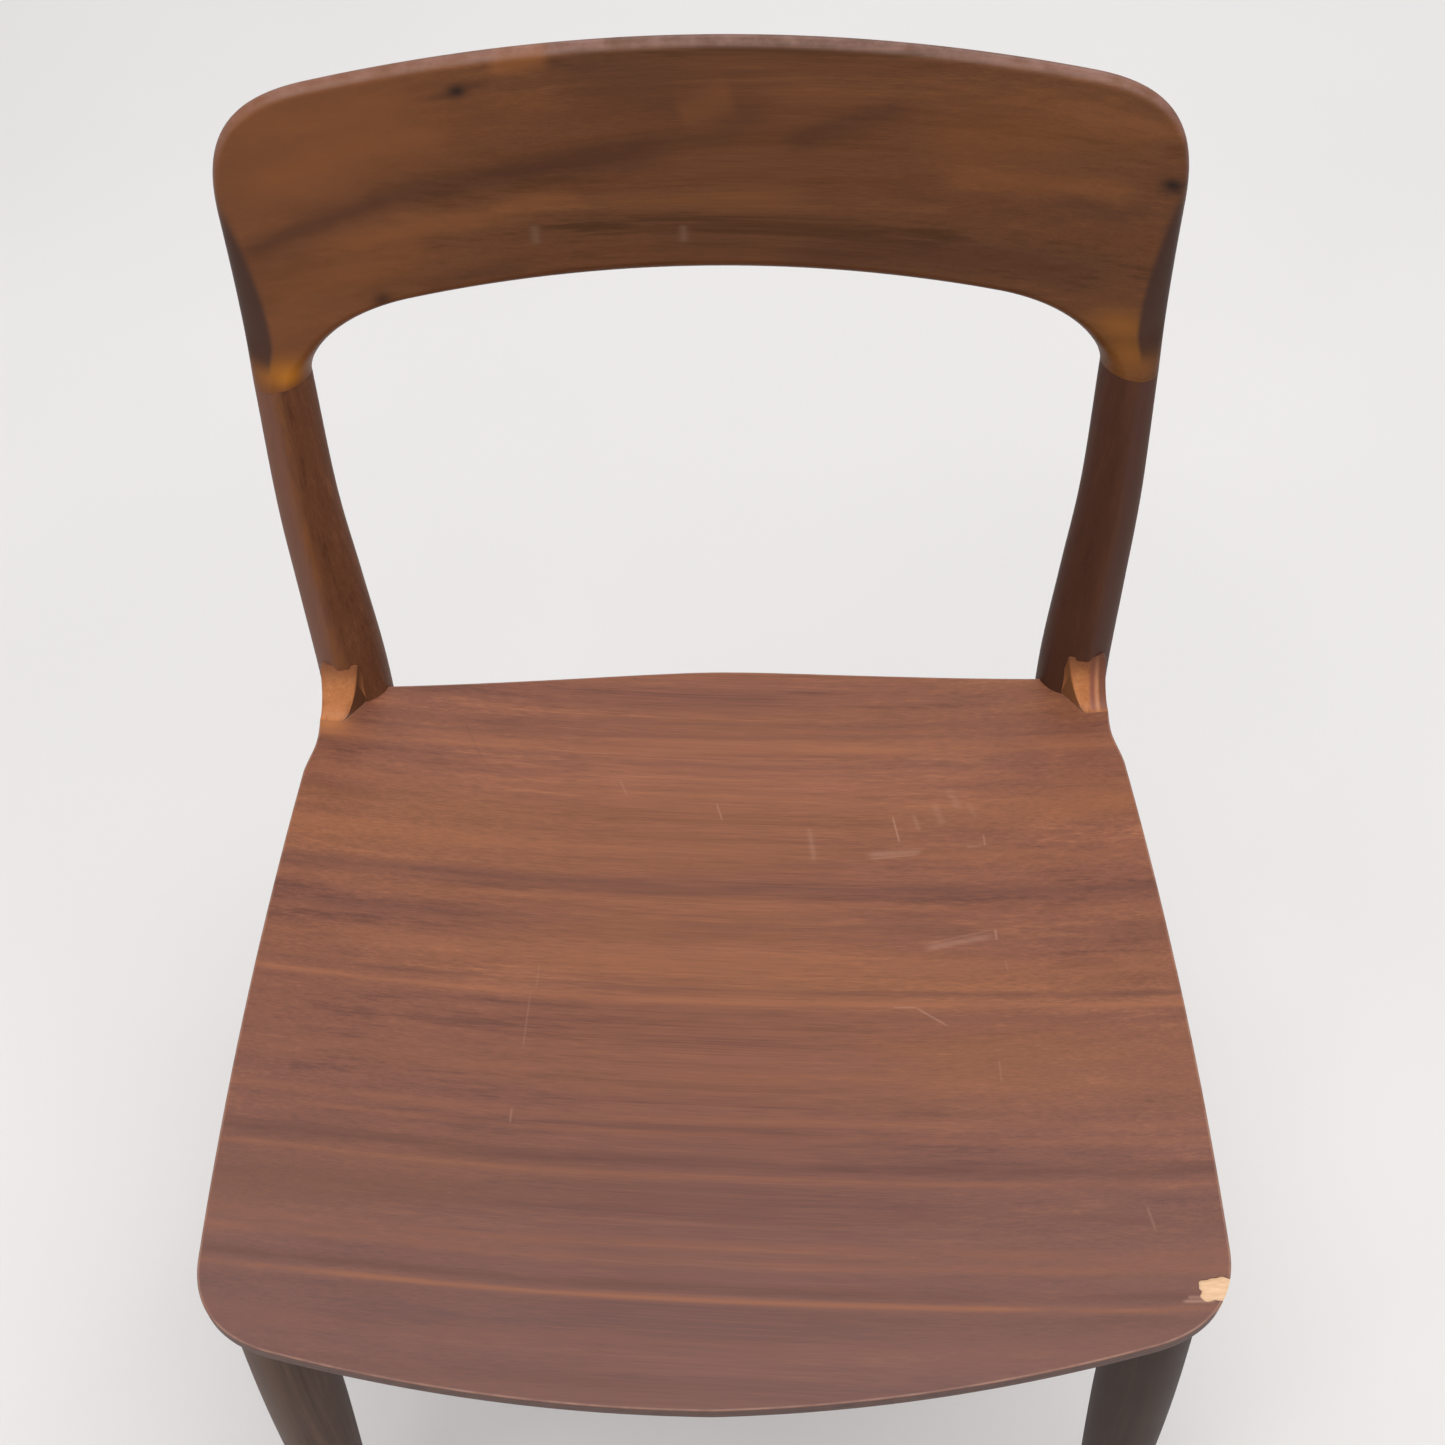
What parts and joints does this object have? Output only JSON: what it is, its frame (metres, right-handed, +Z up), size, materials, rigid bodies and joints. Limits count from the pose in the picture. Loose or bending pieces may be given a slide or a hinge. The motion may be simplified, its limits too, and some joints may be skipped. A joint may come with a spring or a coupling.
{
  "type": "side chair",
  "caption": "Wooden side chair with a curved crest rail, reclined back posts, a dished plywood seat and tapered legs.",
  "frame": {"origin": "on the floor, under the middle of the chair's bounding box", "axes": "+Z up, -Y towards the front of the chair, +X to the right of a person who looks at its front"},
  "size_m": [0.494, 0.5244, 0.8128],
  "materials": {
    "crest_wood": "brown figured hardwood, satin oil varnish",
    "leg_wood": "dark brown hardwood, satin oil varnish",
    "rail_wood": "orange-brown hardwood, satin oil varnish",
    "seat_veneer": "reddish brown striped face veneer, grain across the seat, worn satin varnish",
    "ply_core": "pale plywood plies with a dark stained edge",
    "beech": "bare pale hardwood",
    "steel": "dull zinc plate",
    "nylon": "dark brown, matt"
  },
  "bodies": {
    "root": {"crest_rail": "crest_wood", "rear_leg_right": "leg_wood", "rear_leg_left": "leg_wood", "front_leg_right": "leg_wood", "front_leg_left": "leg_wood", "front_rail": "rail_wood", "rear_rail": "rail_wood", "side_rail_right": "rail_wood", "side_rail_left": "rail_wood", "seat_top_veneer": "seat_veneer", "seat_core": "ply_core", "seat_underside_veneer": "seat_veneer", "front_corner_block_right": "beech", "front_corner_block_left": "beech", "rear_corner_block_right": "beech", "rear_corner_block_left": "beech", "front_rail_dowel_lower_right": "beech", "front_rail_dowel_lower_left": "beech", "front_rail_dowel_upper_right": "beech", "front_rail_dowel_upper_left": "beech", "side_rail_front_dowel_lower_right": "beech", "side_rail_front_dowel_lower_left": "beech", "side_rail_front_dowel_upper_right": "beech", "side_rail_front_dowel_upper_left": "beech", "side_rail_rear_dowel_lower_right": "beech", "side_rail_rear_dowel_lower_left": "beech", "side_rail_rear_dowel_upper_right": "beech", "side_rail_rear_dowel_upper_left": "beech", "rear_rail_dowel_lower_right": "beech", "rear_rail_dowel_lower_left": "beech", "rear_rail_dowel_upper_right": "beech", "rear_rail_dowel_upper_left": "beech", "crest_dowel_right": "beech", "crest_dowel_left": "beech", "front_block_screw_right": "steel", "front_block_screw_left": "steel", "rear_block_screw_right": "steel", "rear_block_screw_left": "steel", "front_seat_screw_right": "steel", "front_seat_screw_left": "steel", "rear_seat_screw_right": "steel", "rear_seat_screw_left": "steel", "front_glide_right": "nylon", "front_glide_left": "nylon", "rear_glide_right": "nylon", "rear_glide_left": "nylon"}
  },
  "joints": []
}
